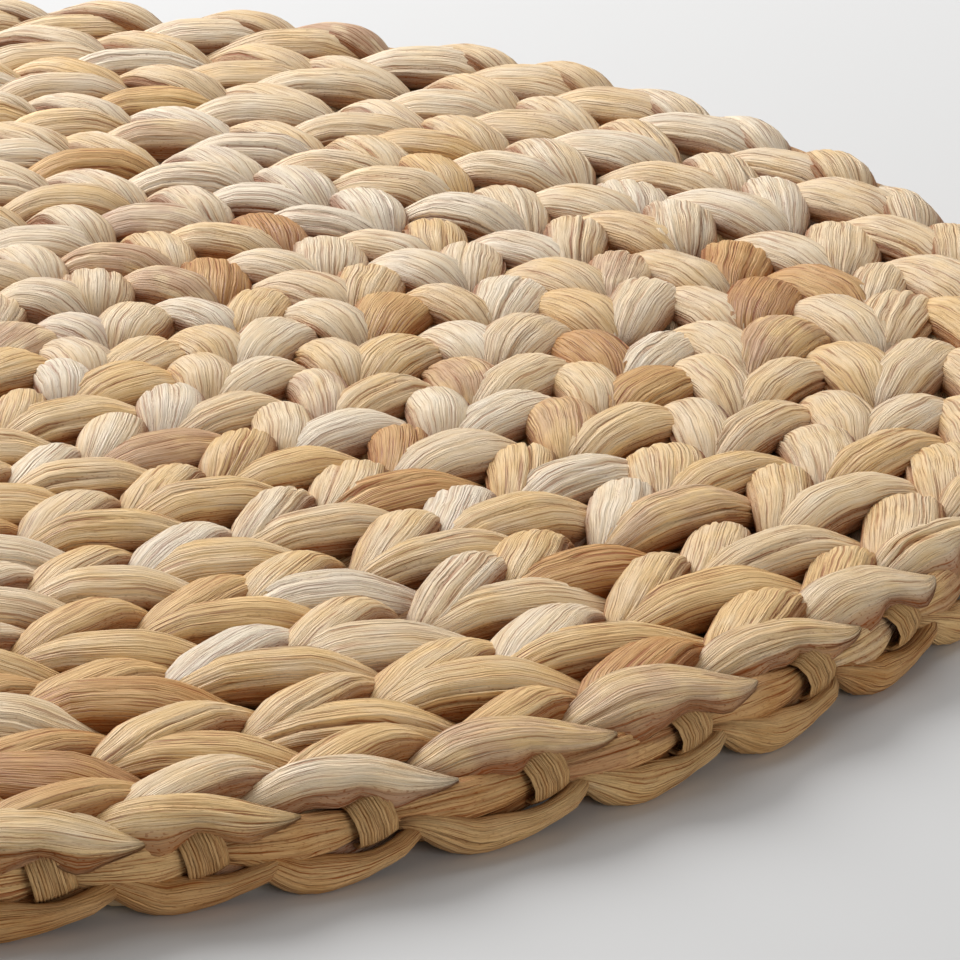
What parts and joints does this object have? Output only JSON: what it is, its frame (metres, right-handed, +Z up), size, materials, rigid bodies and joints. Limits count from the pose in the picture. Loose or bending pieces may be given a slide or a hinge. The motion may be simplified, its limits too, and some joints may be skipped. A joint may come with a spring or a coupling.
{
  "type": "round water hyacinth placemat",
  "caption": "Round flat placemat twined from puffy dried water hyacinth stems, with rows of V stitches on the top face, a lobed rim and a flat underside to lie on a table.",
  "frame": {"origin": "centre of the flat underside, on the table", "axes": "+Z up out of the mat's top face; X and Y lie in the mat, which is round"},
  "size_m": [0.3698, 0.3698, 0.013],
  "materials": {
    "dried_stem": "dry matte plant stem, pale straw to tan, with fine lengthwise fibre"
  },
  "bodies": {
    "root": {"woven_mat": "dried_stem"}
  },
  "joints": []
}
